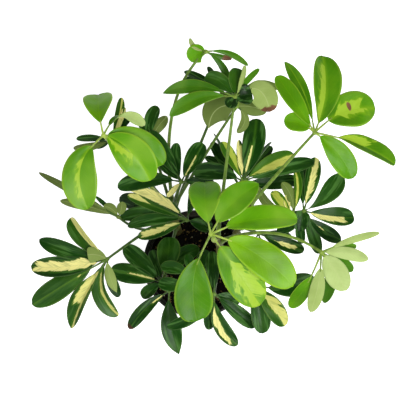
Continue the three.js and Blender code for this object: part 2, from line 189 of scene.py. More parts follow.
LEAVES = {
    "leaf_crown_young": leaf("middle", 322, (16, -7, 395), 0.05, [
        blade(96, 61, 34, -24, sway=-0.07, arch=0.4, fold=18, widest=0.66, tone=0.16),
        blade(47, 70, 30, -8, -8, sway=-0.16, widest=0.5, tone=0.2, point=0.75),
        blade(11, 88, 30, -14, -22, sway=-0.14, tone=0.12),
        blade(328, 95, 35, -11, sway=-0.14, tone=0.04, fold=4),
        blade(306, 86, 37, -24, tone=0.22, left=(0.25, 0.8, 0.62), right=(0.3, 1, 0.5), fold=8),
        blade(261, 86, 38, -18, sway=0.22, tone=0.28, widest=0.66, point=0.4, stalk=0.3, fold=4),
    ]),
    "leaf_upper_left_young": leaf("left", 224, (-91, 94, 385), 0.1, [
        blade(99, 56, 32, -26, sway=-0.04, arch=0.4, fold=20, widest=0.68, tone=0.08, stalk=0.25),
        blade(16, 43, 16, -6, -25, sway=-0.64, twist=-140, tone=0.3),
        blade(
            317, 65, 37, -16, 8, sway=-0.20, stalk=0.06, tone=0.14, right=(0.05, 0.52, 0.42),
            left=(0.3, 0.55, 0.06),
        ),
        blade(337, 68, 30, -24, -10, sway=-0.25, stalk=0.06, tone=0.2, fold=8),
        blade(
            258, 75, 36, -16, sway=0.41, tone=0.2, right=(0.22, 0.85, 0.24),
            left=(0.1, 0.9, 0.02), fold=9,
        ),
    ], bend=(-68, 78, 296)),
    "leaf_upper_left_old": leaf("left", 212, (-88, 104, 322), 0.88, [
        blade(175, 39, 8, -8, -20, sway=0.06),
        blade(192, 41, 9, 0, 175, sway=-0.13),
        blade(195, 22, 9, -10, -40),
        blade(79, 49, 10, -6, 20, sway=0.07, tone=0.6, right=(0, 1, 0.4)),
        blade(70, 39, 6, -4, sway=0.07, left=(0, 1, 0.9), right=(0, 0.9, 0.8)),
        blade(58, 40, 10, -10),
    ]),
    "leaf_upper_left_inner": leaf("left", 204, (-49, 111, 292), 0.85, [
        blade(79, 41, 15, -8, sway=-0.21),
        blade(57, 33, 13, -4, 180, sway=-0.07),
        blade(322, 21, 15, -12),
        blade(114, 29, 11, -6),
        blade(213, 34, 16, -16),
    ]),
    "leaf_left_grey": leaf("left", 160, (-84, 31, 270), 0.9, [
        blade(150, 103, 9, -10, 200),
        blade(163, 69, 11, -12, 180, sway=0.05),
        blade(143, 20, 12, 0, 180, sway=0.24, tone=0.8),
        blade(77, 17, 11, 0, 180, sway=0.14, tone=0.8),
        blade(137, 35, 5, -6),
    ], bend=(-62, 24, 150)),
    "leaf_left_cream": leaf("left", 196, (-96, -14, 262), 0.92, [
        blade(132, 63, 22, -8, -30, sway=-0.12, fold=34, right=(0, 1, 1.1), tone=0.72),
        blade(163, 81, 19, -14, -4, sway=-0.09, tone=0.82, point=0.6),
        blade(184, 87, 24, -18, sway=-0.10, left=(0, 0.95, 0.42), right=(0, 0.86, 0.54), widest=0.6),
        blade(210, 97, 26, -18, fold=-8, stalk=0.22, tone=0.66, left=(0.14, 0.2, 0.4)),
        blade(
            242, 85, 27, -16, 28, sway=0.08, fold=32, stalk=0.16, tone=0.72,
            right=(0, 0.56, 0.58), left=(0, 1, 0.3), point=0.8,
        ),
        blade(
            281, 63, 23, -14, 30, sway=0.40, fold=30, tone=0.7, right=(0.1, 0.6, 0.1),
            left=(0.12, 1, 0.42), widest=0.55,
        ),
        blade(287, 38, 12, 2, 180, sway=0.12, stalk=0.1, tone=0.5, point=0.9, widest=0.5),
        blade(288, 43, 13, -8, sway=0.12),
        blade(170, 22, 18, 6, 180, sway=0.18, stalk=0.05, widest=0.8, point=0.2, tone=0.66),
    ]),
    "leaf_centre_left": leaf("left", 188, (-10, 30, 255), 0.9, [
        blade(176, 76, 17, -14, sway=0.14, tone=0.8),
        blade(185, 66, 15, -8, 8, sway=0.12, tone=0.76),
        blade(197, 58, 15, -12, sway=-0.07, right=(0.05, 0.86, 0.56), left=(0.3, 0.9, 0.34), tone=0.75),
        blade(345, 30, 16, -8),
        blade(80, 49, 13, -4, 30, sway=0.06, right=(0.3, 1, 0.3)),
        blade(
            153, 78, 12, 12, -10, sway=0.16, left=(0, 0.76, 0.97), right=(0, 0.76, 0.9),
            tone=0.85, widest=0.45,
        ),
        blade(157, 71, 13, 0, left=(0.6, 1, 0.2), right=(0.55, 1, 0.8), tone=0.7),
        blade(163, 64, 14, -14, tone=0.95),
        blade(157, 94, 22, -42, tone=0.95),
    ]),
    "leaf_left_star": leaf("left", 230, (-15, 63, 304), 0.88, [
        blade(97, 45, 13, -8, sway=-0.15),
        blade(63, 50, 20, -8, right=(0.05, 0.62, 0.2), tone=0.8),
        blade(121, 68, 18, -10),
        blade(135, 36, 11, -14),
        blade(183, 70, 20, -14, sway=0.13),
        blade(225, 22, 7, -6, left=(0, 1, 0.9), right=(0, 1, 0.7)),
        blade(356, 38, 15, -12, sway=-0.09),
    ]),
    "leaf_upper_middle": leaf("right", 262, (50, 61, 316), 0.86, [
        blade(30, 63, 18, -8, -8, sway=-0.07, right=(0.1, 1, 0.9), left=(0.3, 0.9, 0.1), tone=0.58),
        blade(18, 82, 17, -16, sway=-0.03),
        blade(78, 71, 25, -6, sway=0.07, tone=0.92, right=(0, 0.45, 0.05), left=(0, 0.5, 0.2)),
        blade(55, 53, 9, -4, -60, sway=-0.03, tone=0.8),
        blade(95, 46, 9, -4, left=(0, 1, 0.85), right=(0.1, 0.8, 0.5), widest=0.5),
        blade(117, 49, 14, -4, 20, right=(0.1, 1, 0.9), tone=0.45),
        blade(167, 56, 20, -14, sway=0.17, tone=0.88),
    ], bend=(54, 78, 292)),
    "leaf_upper_middle_lower": leaf("right", 246, (46, 67, 272), 0.9, [
        blade(121, 57, 13, -8),
        blade(115, 63, 8, -2, 60, tone=0.95),
        blade(139, 48, 11, -6, sway=0.12),
        blade(6, 70, 17, -12, sway=0.06),
        blade(49, 58, 13, -8, tone=0.95),
    ]),
    "leaf_back": leaf("middle", 305, (40, 133, 385), 0.45, [
        blade(174, 74, 15, -12, sway=0.22, point=0.85),
        blade(195, 68, 17, -8, sway=0.25, tone=0.36, point=0.7),
        blade(142, 39, 18, -8, sway=0.22, tone=0.7),
        blade(86, 33, 16, -6, tone=0.62),
        blade(72, 34, 8, 4, 230, sway=0.14),
        blade(51, 40, 7, -4, 30, sway=-0.08, tone=0.34),
        # Painted shade: this stub and the one at 241 degrees, both at tone 1, are dark fillers for deep
        # shade behind the pale sheet.
        blade(13, 18, 22, -2, tone=1, stalk=0.02),
        blade(
            341, 39, 28, -10, 180, sway=-0.83, brown=0.13, widest=0.6, stalk=0.28, point=0.45, tone=0.5
        ),
        blade(241, 15, 14, 6, tone=1, stalk=0.02),
    ]),
    "leaf_back_pale": leaf("left", 220, (43, 133, 350), 0.62, [
        blade(353, 32, 18, -8, 180, sway=-0.13, tone=0.85, stalk=0.05, widest=0.5),
        blade(215, 37, 33, -10, 180, sway=0.54, widest=0.42, stalk=0.05, point=0.9, tone=0.9),
        blade(270, 27, 10, -6, 180, sway=-0.62, tone=0.8),
        blade(21, 50, 9, 0, 180, sway=-0.56, tone=0.4),
    ]),
    "leaf_back_small": leaf("left", 199, (28, 155, 325), 0.88, [
        blade(116, 35, 7, -8),
        blade(149, 47, 10, -4, 20, sway=0.04),
        blade(158, 45, 11, -6),
        blade(270, 16, 14, -10, stalk=0.3),
        blade(346, 25, 14, -10),
    ]),
    "leaf_far_back": leaf("left", 210, (11, 187, 365), 0.5, [
        blade(209, 19, 21, -8, sway=0.33, tone=0.12, widest=0.5, stalk=0.05, point=0.6),
        blade(136, 23, 6, -4, 200, sway=-0.34, tone=0.4),
        blade(344, 46, 7, -8, 40, sway=-0.24, tone=0.35),
        blade(348, 28, 6, -6, 40, sway=0.09, brown=0.4),
        blade(307, 44, 8, -14, 20, sway=-0.23, stalk=0.1),
    ], bend=(-42, 146, 344)),
    "leaf_upper_right_young": leaf("right", 292, (120, 98, 380), 0.42, [
        blade(155, 34, 21, -8, sway=0.18, stalk=0.2, widest=0.5, tone=0.1),
        blade(121, 72, 19, -8, tone=0.12),
        blade(110, 84, 14, -14, sway=0.11, tone=0.3, point=0.8, right=(0.35, 0.55, 0.1)),
        blade(
            83, 84, 33, -10, 16, sway=0.15, tone=0.26, fold=22, left=(0, 0.84, 0.4),
            right=(0.2, 0.5, 0.04),
        ),
        blade(
            24, 70, 38, -12, sway=-0.22, stalk=0.26, tone=0.22, brown=-0.5, fold=8,
            left=(0.16, 0.66, 0.5), right=(0.25, 0.8, 0.3), widest=0.55,
        ),
        blade(340, 88, 26, -14, -32, sway=-0.10, fold=26, tone=0.22, left=(0, 0.42, 0.75), stalk=0.27),
        blade(311, 60, 25, -14, sway=-0.14, tone=0.16, stalk=0.1, fold=5),
    ]),
    "leaf_right_cream": leaf("right", 246, (115, 33, 296), 0.88, [
        blade(77, 62, 17, -8, sway=0.04, right=(0.15, 1, 0.5), left=(0, 0.8, 0.3), tone=0.8),
        blade(46, 61, 22, -10, sway=0.20, point=0.8, tone=0.78, stalk=0.05, widest=0.65),
        blade(355, 56, 21, -12, sway=0.08, right=(0, 0.74, 0.6), widest=0.66, point=0.42, tone=0.8),
        blade(324, 52, 16, -14, sway=0.16, left=(0.25, 0.5, 0.15), stalk=0.2),
        blade(291, 49, 14, -14, tone=0.75),
        blade(268, 36, 11, -14, sway=0.18, tone=0.8),
        blade(215, 36, 13, -10, sway=-0.22),
        blade(259, 22, 19, -3, sway=0.09, widest=0.42, stalk=0.02, tone=0.9),
        blade(86, 59, 11, -16, sway=-0.09, tone=0.9),
    ]),
    "leaf_right_inner": leaf("right", 262, (102, 27, 312), 0.8, [
        blade(86, 52, 9, -8, 10, sway=0.16, tone=0.55, left=(0.1, 0.9, 0.4), right=(0, 0.8, 0.2)),
        blade(107, 37, 12, -6, 170, sway=0.22, tone=0.75),
        blade(95, 24, 8, -6, sway=-0.38, left=(0, 1, 1), right=(0, 1, 0.9)),
        blade(128, 34, 13, -8, sway=-0.09, left=(0.1, 0.9, 0.5), right=(0.1, 1, 0.6), tone=0.5),
        blade(136, 54, 10, -24, 180, sway=-0.32, tone=0.75),
        blade(78, 53, 10, -14),
    ]),
    "leaf_right_pale": leaf("middle", 290, (128, -18, 345), 0.35, [
        blade(19, 65, 8, -8, 200, sway=-0.05, tone=0.4),
        blade(352, 49, 14, -6, 180, sway=-0.12, tone=0.3, stalk=0.08),
        blade(304, 47, 26, -12, 180, sway=-0.06, tone=0.22, stalk=0.1),
        blade(260, 62, 16, -14, 180, sway=-0.08, tone=0.42, stalk=0.26),
        blade(240, 67, 16, -26, sway=-0.11, tone=0.2, stalk=0.42),
        blade(276, 60, 13, -36, sway=-0.26, tone=0.5),
        blade(13, 42, 9, -16, tone=0.3),
        blade(335, 42, 13, -18, tone=0.4),
    ], bend=(82, 17, 338)),
    "leaf_front": leaf("middle", 180, (20, -49, 232), 0.88, [
        blade(93, 49, 16, -6, tone=0.97),
        blade(295, 62, 18, -10, sway=0.27, right=(0.12, 0.8, 0.62), left=(0.2, 0.62, 0.16), tone=0.8),
        blade(322, 59, 17, -12),
        blade(262, 41, 14, -14, sway=0.08),
        blade(345, 31, 15, -10),
        blade(214, 64, 14, -8, sway=-0.24, tone=0.84),
        blade(218, 27, 13, -14),
    ]),
    "leaf_front_right": leaf("middle", 205, (61, -41, 248), 0.86, [
        blade(283, 54, 22, -10, sway=-0.07, tone=0.8),
        blade(309, 57, 22, -8, sway=-0.10, left=(0.1, 1, 0.8), right=(0.3, 0.7, 0.2), tone=0.64),
        blade(6, 71, 26, -8, sway=0.17, tone=0.8, stalk=0.25),
    ]),
    "leaf_low_left": leaf("left", 136, (-40, -29, 176), 0.92, [
        blade(136, 62, 22, -8, tone=0.82),
        blade(166, 62, 24, -8, right=(0, 0.6, 0.2), left=(0, 0.4, 0.05), tone=0.84),
        blade(216, 30, 15, -8, sway=0.04, tone=0.8),
        blade(80, 53, 28, -2, sway=0.06, tone=0.68, stalk=0.2),
        blade(108, 42, 15, -12),
        blade(43, 59, 20, -6, sway=-0.20, tone=0.76, stalk=0.2),
    ]),
    "leaf_low_front": leaf("middle", 146, (-31, -41, 190), 0.86, [
        blade(223, 63, 16, -8, sway=0.12, brown=0.1, tone=0.84, left=(0, 0.3, 0.25)),
        blade(279, 73, 24, -12, sway=0.12, tone=0.76, point=0.95, widest=0.55),
    ]),
    "leaf_inner_right": leaf("right", 225, (68, 12, 276), 0.9, [
        blade(341, 53, 16, -10, sway=0.07, left=(0.35, 0.8, 0.3), right=(0.3, 0.75, 0.35)),
        blade(355, 39, 13, -14),
        blade(277, 32, 15, -12),
        blade(236, 38, 16, -12),
    ]),
    "leaf_low_inner": leaf("middle", 158, (0, -30, 199), 0.85, [
        blade(159, 43, 16, -2, sway=0.23, tone=0.72, stalk=0.3),
        blade(182, 43, 17, -4, sway=-0.21, tone=0.78, stalk=0.3),
        blade(110, 32, 12, 0, tone=0.78),
        blade(73, 40, 16, -12),
    ]),
}

# ---------------------------------------------------------------- finishes

# Runs of colour by age, each stop (age, colour).
FRESH_GREEN = [
    (0.0, "#7cb40c"),
    (0.12, "#60a208"),
    (0.3, "#468206"),
    (0.5, "#386c0e"),
    (0.75, "#174a08"),
    (0.9, "#0a3604"),
    (1.0, "#0a2a02"),
]
HALF_GREEN = [(0.0, "#98cc14"), (0.3, "#80ac1c"), (0.6, "#628c20"), (0.9, "#406e18")]
CREAM = [(0.0, "#a8cc2c"), (0.3, "#a0c238"), (0.55, "#c8cc5c"), (0.8, "#fbf39c")]
# Painted highlight: pale greens by age for blade rims that catch the light.
RIM_HIGHLIGHT_GREEN = [(0.0, "#b4dc3c"), (0.4, "#8cb03c"), (0.8, "#648448"), (1.0, "#3c5c2c")]
# Painted sheen: paler, greyer greens by age, laid in broad patches over blade tops.
PAINTED_SHEEN_GREEN = [(0.0, "#a4cc40"), (0.3, "#74a434"), (0.6, "#527a30"), (0.9, "#184a10"), (1.0, "#0e2a08")]
UNDER_GREEN = [
    (0.0, "#cce096"),
    (0.3, "#c0d686"),
    (0.5, "#a4ba68"),
    (0.75, "#7c9048"),
    (1.0, "#627438"),
]
UNDER_DEEP = [(0.0, "#b6cc7c"), (0.4, "#98b058"), (1.0, "#50662e")]
STALK_GREEN = [(0.0, "#b0c658"), (0.2, "#90aa42"), (0.5, "#648432"), (0.9, "#466426")]
STALK_DEEP = [(0.0, "#90a83c"), (0.3, "#5e7826"), (0.9, "#304a1a")]

# Runs of colour by the grain of the finish.
DRIED = [(0.3, "#3c2315"), (0.7, "#94694a")]
BARK_STRANDS = [(0.25, "#32351a"), (0.5, "#525926"), (0.75, "#74803a")]

DEEP_SHADE = "#0c2404"
# Painted highlight: the pale green of sheen streaks on old leaves.
PAINTED_GLEAM = "#5a8c42"
UNDER_RIB = "#c3d08c"
STALK_FLUSH = "#7a6c3e"
BARK_PATCH = "#544c28"
CORK = "#7c7048"
PLASTIC_DARK = "#121313"
PLASTIC_LIGHT = "#1e1f20"
DUST = "#6a5c4d"
DAMP = "#050302"


def paint(code):
    """A colour as it is seen, such as #6faf12, as the numbers that a shader takes."""
    seen = [int(code[i : i + 2], 16) / 255 for i in (1, 3, 5)]
    return (*[c / 12.92 if c <= 0.04045 else ((c + 0.055) / 1.055) ** 2.4 for c in seen], 1)


class Finish:
    """A procedural finish and the nodes that make it."""

    def __init__(self, name):
        self.material = bpy.data.materials.new(name)
        self.material.use_nodes = True
        self.nodes = self.material.node_tree.nodes
        self.links = self.material.node_tree.links
        self.nodes.clear()
        self.output = self.nodes.new("ShaderNodeOutputMaterial")

    def add(self, kind, values=(), **settings):
        """A node with its settings, and with a value or another node's output in each socket."""
        node = self.nodes.new(kind)
        for key, value in settings.items():
            setattr(node, key, value)
        for socket, value in dict(values).items():
            self.plug(node.inputs[socket], value)
        return node

    def plug(self, socket, value):
        if isinstance(value, bpy.types.NodeSocket):
            self.links.new(value, socket)
        else:
            socket.default_value = value

    def calc(self, operation, *values):
        return self.add("ShaderNodeMath", enumerate(values), operation=operation).outputs[0]

    def times(self, value, other):
        return self.calc("MULTIPLY", value, other)

    def plus(self, value, other):
        return self.calc("ADD", value, other)

    def less(self, value, other):
        return self.calc("SUBTRACT", value, other)

    def scaled(self, value, scale, base):
        """The value times the scale, plus the base."""
        return self.calc("MULTIPLY_ADD", value, scale, base)

    def fade(self, value, low, high):
        """0 at low and 1 at high, smoothly between them, whichever is larger."""
        return self.add(
            "ShaderNodeMapRange",
            {"Value": value, "From Min": low, "From Max": high},
            interpolation_type="SMOOTHSTEP",
        ).outputs["Result"]

    def blend(self, kind, first_socket, output, factor, first, second):
        """A Mix node, whose sockets go by number because several share a name."""
        node = self.add("ShaderNodeMix", data_type=kind)
        self.plug(node.inputs[0], factor)
        self.plug(node.inputs[first_socket], first)
        self.plug(node.inputs[first_socket + 1], second)
        return node.outputs[output]

    def mix(self, factor, first, second):
        return self.blend("RGBA", 6, 2, factor, first, second)

    def pick(self, factor, first, second):
        return self.blend("FLOAT", 2, 0, factor, first, second)

    def tint(self, pattern, strength, colour, other):
        """The colour with a share of the other where the pattern is."""
        return self.mix(self.times(pattern, strength), colour, other)

    def grade(self, value, stops):
        """A run of colours, each (place, colour)."""
        ramp = self.add("ShaderNodeValToRGB", {"Fac": value})
        marks = ramp.color_ramp.elements
        while len(marks) < len(stops):
            marks.new(0.5)
        for mark, (place, code) in zip(marks, stops):
            mark.position = place
            mark.color = paint(code)
        return ramp.outputs["Color"]

    def grain(self, vector, scale, detail=3.0, roughness=0.5):
        """Noise that is about 0.5 in the mean."""
        return self.add(
            "ShaderNodeTexNoise",
            {"Vector": vector, "Scale": scale, "Detail": detail, "Roughness": roughness},
        ).outputs["Fac"]

    def place(self):
        return self.add("ShaderNodeTexCoord").outputs["Object"]

    def stretched(self, place, scale):
        return self.add("ShaderNodeMapping", {"Vector": place, "Scale": scale}).outputs["Vector"]

    def join(self, x, y, z):
        return self.add("ShaderNodeCombineXYZ", {"X": x, "Y": y, "Z": z}).outputs["Vector"]

    def split(self, name):
        """The three numbers that a mesh keeps under a name."""
        kept = self.add("ShaderNodeAttribute", attribute_name=name).outputs["Vector"]
        return self.add("ShaderNodeSeparateXYZ", {"Vector": kept}).outputs

    def bump(self, height, strength, distance):
        return self.add(
            "ShaderNodeBump", {"Height": height, "Strength": strength, "Distance": distance}
        ).outputs["Normal"]

    def surface(self, through=0.0, through_colour=None, **values):
        """A plain shader, with some light let through from behind."""
        shader = self.add("ShaderNodeBsdfPrincipled")
        for name, value in values.items():
            self.plug(shader.inputs[name.replace("_", " ").title().replace("Ior", "IOR")], value)
        result = shader.outputs["BSDF"]
        if through:
            glow = self.add("ShaderNodeBsdfTranslucent", {"Color": through_colour})
            mixed = self.add("ShaderNodeMixShader", {"Fac": through})
            self.links.new(result, mixed.inputs[1])
            self.links.new(glow.outputs[0], mixed.inputs[2])
            result = mixed.outputs[0]
        self.links.new(result, self.output.inputs["Surface"])
        return self.material


def leaf_pattern(finish):
    """The measures that both faces of a blade share: across from -1 to 1, how far off the midrib,
    along from 0 to 1, the run of the side veins, and the midrib and the side veins as lines."""
    uv = finish.add("ShaderNodeUVMap", uv_map="blade").outputs["UV"]
    ends = finish.add("ShaderNodeSeparateXYZ", {"Vector": uv}).outputs
    across = finish.scaled(ends["X"], 2.0, -1.0)
    off_rib = finish.calc("ABSOLUTE", across)
    along = ends["Y"]
    run = finish.scaled(off_rib, -0.3, along)
    rib = finish.fade(off_rib, 0.05, 0.008)
    comb = finish.calc("PINGPONG", finish.times(run, 10.0), 0.5)
    veins = finish.fade(comb, 0.1, 0.0)
    return across, off_rib, along, run, rib, veins


def dried_parts(finish, colour, across, along, brown, streaks, mottle):
    """Brown paper: a share of a blade's end, or, where the share is negative, a scar beside the midrib
    at that share of the length."""
    # Streaks are about 0.5, so the brown starts near where along and brown add up to 1.
    past = finish.plus(along, brown)
    end = finish.fade(finish.scaled(streaks, 0.16, past), 1.08, 1.12)
    end = finish.times(end, finish.fade(brown, 0.01, 0.03))
    # The scar is an oval: its two measures are 0 in its middle and their squares add up to 1 at its rim.
    beside = finish.scaled(across, 4.0, 0.9)
    ahead = finish.scaled(mottle, 2.0, finish.scaled(past, 26.0, -1.0))
    off = finish.plus(finish.times(beside, beside), finish.times(ahead, ahead))
    scar = finish.times(finish.fade(off, 1.2, 0.7), finish.fade(brown, -0.01, -0.03))
    return finish.mix(finish.plus(end, scar), colour, finish.grade(mottle, DRIED))


def lay_cream(finish, across, off_rib, run, tone, seed):
    """Cream on each half, from its start to its end and from the midrib out to its reach, with an edge
    that ends in streaks along the side veins. Gives the patch, a halo round it and the streaks."""
    on_right = finish.calc("GREATER_THAN", across, 0.0)
    halves = zip(finish.split("cream_left"), finish.split("cream_right"))
    start, end, reach = [finish.pick(on_right, left, right) for left, right in halves]
    side_seed = finish.scaled(on_right, 7.0, seed)
    lanes = finish.join(finish.times(run, 14.0), finish.times(off_rib, 1.2), side_seed)
    streaks = finish.grain(lanes, 1.0, 3.0, 0.6)
    ragged = finish.scaled(streaks, 0.3, finish.plus(run, -0.15))
    opened = finish.fade(finish.less(ragged, start), -0.06, 0.08)
    shut = finish.fade(finish.less(ragged, end), 0.04, -0.1)
    limit = finish.times(reach, finish.scaled(streaks, 1.1, 0.45))
    # Younger leaves have a more broken edge, with islands.
    island_place = finish.join(finish.times(run, 9.0), finish.times(across, 4.0), seed)
    islands = finish.times(finish.plus(finish.grain(island_place, 1.0, 4.0), -0.5), reach)
    broken = finish.calc("MAXIMUM", finish.scaled(tone, -8.0, 4.4), 0.7)
    limit = finish.scaled(islands, broken, limit)
    limit = finish.times(limit, finish.times(opened, shut))
    inside = finish.less(limit, finish.plus(off_rib, 0.02))
    has_cream = finish.fade(reach, 0.02, 0.05)
    patch = finish.times(finish.fade(inside, -0.02, 0.04), has_cream)
    halo = finish.times(finish.fade(inside, -0.24, 0.0), has_cream)
    return patch, halo, streaks


def make_leaf_top():
    """The glossy upper face: lime to dark green by age, paler in dapples and painted sheen patches, with
    painted sheen streaks on old leaves, cream patches, a painted rim highlight, a pale midrib and side
    veins."""
    finish = Finish("leaf_top")
    across, off_rib, along, run, rib, veins = leaf_pattern(finish)
    tone, brown, seed = finish.split("leaf_look")
    patch, halo, streaks = lay_cream(finish, across, off_rib, run, tone, seed)
    place = finish.place()
    mottle = finish.grain(place, 55.0, 4.0)
    broad = finish.grain(place, 22.0, 2.0)
    # Painted highlight: a pale band along the blade's rim, where its edge catches the light.
    rim = finish.fade(finish.split("blade_rim")[0], 0.84, 0.98)
    # Painted highlight: pale streaks along old blades, standing in for their glossy sheen.
    painted_gleam_place = finish.join(finish.times(across, 2.6), finish.times(along, 1.4), seed)
    painted_gleam = finish.fade(finish.grain(painted_gleam_place, 1.0, 3.0), 0.5, 0.62)
    painted_gleam = finish.times(painted_gleam, finish.fade(tone, 0.55, 0.8))

    green = finish.grade(tone, FRESH_GREEN)
    half_green = finish.grade(tone, HALF_GREEN)
    colour = finish.tint(finish.fade(mottle, 0.4, 0.75), 0.22, green, half_green)
    # Painted sheen: broad patches of the top turn paler and greyer, where the lamps' sheen would fall.
    colour = finish.tint(finish.fade(broad, 0.48, 0.72), 0.5, colour, finish.grade(tone, PAINTED_SHEEN_GREEN))
    colour = finish.tint(painted_gleam, 0.55, colour, paint(PAINTED_GLEAM))
    colour = finish.tint(finish.fade(broad, 0.55, 0.28), 0.3, colour, paint(DEEP_SHADE))
    colour = finish.tint(halo, 0.6, colour, half_green)
    flecks = finish.fade(streaks, 0.5, 0.34)
    cream = finish.tint(flecks, 0.3, finish.grade(tone, CREAM), half_green)
    colour = finish.mix(patch, colour, cream)
    colour = finish.tint(rim, 0.55, colour, finish.grade(tone, RIM_HIGHLIGHT_GREEN))
    colour = finish.tint(veins, 0.1, colour, half_green)
    colour = finish.tint(rib, 0.14, colour, half_green)
    colour = dried_parts(finish, colour, across, along, brown, streaks, mottle)

    height = finish.times(finish.grain(place, 90.0, 0.0), 0.8)
    height = finish.scaled(veins, -0.6, height)
    height = finish.scaled(rib, -0.9, height)
    return finish.surface(
        through=0.16,
        through_colour=colour,
        base_color=colour,
        roughness=finish.scaled(mottle, 0.14, 0.3),
        specular_ior_level=0.18,
        normal=finish.bump(height, 0.2, 0.0004),
    )


def make_leaf_under():
    """The matt lower face: pale olive green, with raised veins."""
    finish = Finish("leaf_under")
    across, _, along, run, rib, veins = leaf_pattern(finish)
    tone, brown, seed = finish.split("leaf_look")
    place = finish.place()
    mottle = finish.grain(place, 60.0, 4.0)
    deep = finish.grade(tone, UNDER_DEEP)
    green = finish.grade(tone, UNDER_GREEN)
    colour = finish.tint(finish.fade(mottle, 0.35, 0.75), 0.5, green, deep)
    colour = finish.tint(veins, 0.22, colour, deep)
    colour = finish.tint(rib, 0.5, colour, paint(UNDER_RIB))
    streaks = finish.grain(finish.join(finish.times(run, 9.0), 0.0, seed), 1.0, 4.0)
    colour = dried_parts(finish, colour, across, along, brown, streaks, mottle)
    height = finish.scaled(finish.grain(place, 110.0, 0.0), 0.6, veins)
    height = finish.scaled(rib, 1.6, height)
    return finish.surface(
        through=0.2,
        through_colour=colour,
        base_color=colour,
        roughness=finish.scaled(mottle, 0.2, 0.56),
        specular_ior_level=0.12,
        normal=finish.bump(height, 0.25, 0.0005),
    )


def make_stalk_finish():
    """Stalks and hubs: green by age, mottled, with a brown flush here and there."""
    finish = Finish("leaf_stalk")
    tone = finish.split("leaf_look")[0]
    place = finish.place()
    mottle = finish.grain(place, 160.0, 4.0)
    flush = finish.fade(finish.grain(place, 30.0, 2.0), 0.55, 0.8)
    green = finish.grade(tone, STALK_GREEN)
    colour = finish.mix(finish.fade(mottle, 0.35, 0.7), green, finish.grade(tone, STALK_DEEP))
    colour = finish.tint(flush, 0.25, colour, paint(STALK_FLUSH))
    return finish.surface(
        base_color=colour,
        roughness=finish.scaled(mottle, 0.2, 0.35),
        specular_ior_level=0.25,
        normal=finish.bump(mottle, 0.25, 0.0003),
    )


def make_bark():
    """Green-brown bark with strands along the stem, brown patches and small corky spots."""
    finish = Finish("bark")
    place = finish.place()
    strands = finish.grain(finish.stretched(place, (1.0, 1.0, 0.22)), 260.0, 5.0, 0.6)
    patches = finish.grain(place, 42.0, 3.0)
    corks = finish.add("ShaderNodeTexVoronoi", {"Vector": place, "Scale": 420.0})
    spots = finish.fade(corks.outputs["Distance"], 0.24, 0.1)
    colour = finish.grade(strands, BARK_STRANDS)
    colour = finish.mix(finish.fade(patches, 0.42, 0.68), colour, paint(BARK_PATCH))
    colour = finish.tint(spots, 0.5, colour, paint(CORK))
    height = finish.scaled(spots, 0.6, strands)
    return finish.surface(
        base_color=colour,
        roughness=finish.scaled(strands, 0.25, 0.6),
        specular_ior_level=0.15,
        normal=finish.bump(height, 0.6, 0.0008),
    )


def make_pot_plastic():
    """Black plastic with a fine skin and scuffs around it, dusty near its rim and its foot."""
    finish = Finish("pot_plastic")
    place = finish.place()
    skin = finish.grain(place, 900.0, 2.0)
    dust = finish.grain(place, 26.0, 5.0, 0.6)
    scuffs = finish.grain(finish.stretched(place, (1.0, 1.0, 12.0)), 60.0, 4.0)
    height = finish.add("ShaderNodeSeparateXYZ", {"Vector": place}).outputs["Z"]
    near_rim = finish.fade(height, POT_HEIGHT * 0.6, POT_HEIGHT)
    near_foot = finish.fade(height, POT_HEIGHT * 0.12, 0.0)
    dusty = finish.times(finish.fade(dust, 0.45, 0.8), finish.plus(near_rim, near_foot))
    colour = finish.mix(finish.fade(scuffs, 0.5, 0.8), paint(PLASTIC_DARK), paint(PLASTIC_LIGHT))
    colour = finish.tint(dusty, 0.35, colour, paint(DUST))
    rough = finish.scaled(scuffs, 0.25, 0.36)
    return finish.surface(
        base_color=colour,
        roughness=finish.scaled(dusty, 0.3, rough),
        specular_ior_level=0.3,
        normal=finish.bump(skin, 0.12, 0.0003),
    )


def make_soil_finish(name, dark, light, spread):
    """Two earthy colours in a grain as fine as the spread says, darker where it is damp."""
    finish = Finish(name)
    place = finish.place()
    grain = finish.grain(place, spread, 6.0, 0.7)
    damp = finish.fade(finish.grain(place, 30.0, 2.0), 0.45, 0.7)
    colour = finish.mix(finish.fade(grain, 0.35, 0.7), paint(dark), paint(light))
    colour = finish.tint(damp, 0.5, colour, paint(DAMP))
    return finish.surface(
        base_color=colour,
        roughness=finish.scaled(grain, 0.2, 0.75),
        specular_ior_level=0.12,
        normal=finish.bump(grain, 0.8, 0.0015),
    )


LEAF_TOP = make_leaf_top()
LEAF_UNDER = make_leaf_under()
LEAF_STALK = make_stalk_finish()
BARK = make_bark()
POT_PLASTIC = make_pot_plastic()
SOIL = make_soil_finish("soil", "#040302", "#120c08", 420.0)
SOIL_CRUMB = make_soil_finish("soil_crumb", "#0c0806", "#30221a", 600.0)
BARK_CHIP = make_soil_finish("bark_chip", "#54401f", "#a08654", 500.0)
PERLITE = make_soil_finish("perlite", "#98907c", "#dcd6c4", 500.0)

# ---------------------------------------------------------------- tools of the bench


def settle():
    """Nothing stays selected and nothing is in edit mode."""
    if bpy.context.object and bpy.context.object.mode != "OBJECT":
        bpy.ops.object.mode_set(mode="OBJECT")
    bpy.ops.object.select_all(action="DESELECT")


def hold(*pieces):
    """Only these pieces are selected, and the first of them is the active one."""
    settle()
    for piece in pieces:
        piece.select_set(True)
    bpy.context.view_layer.objects.active = pieces[0]


def take(name):
    """The piece that was just made, under its own name."""
    piece = bpy.context.object
    piece.name = name
    piece.data.name = name
    return piece


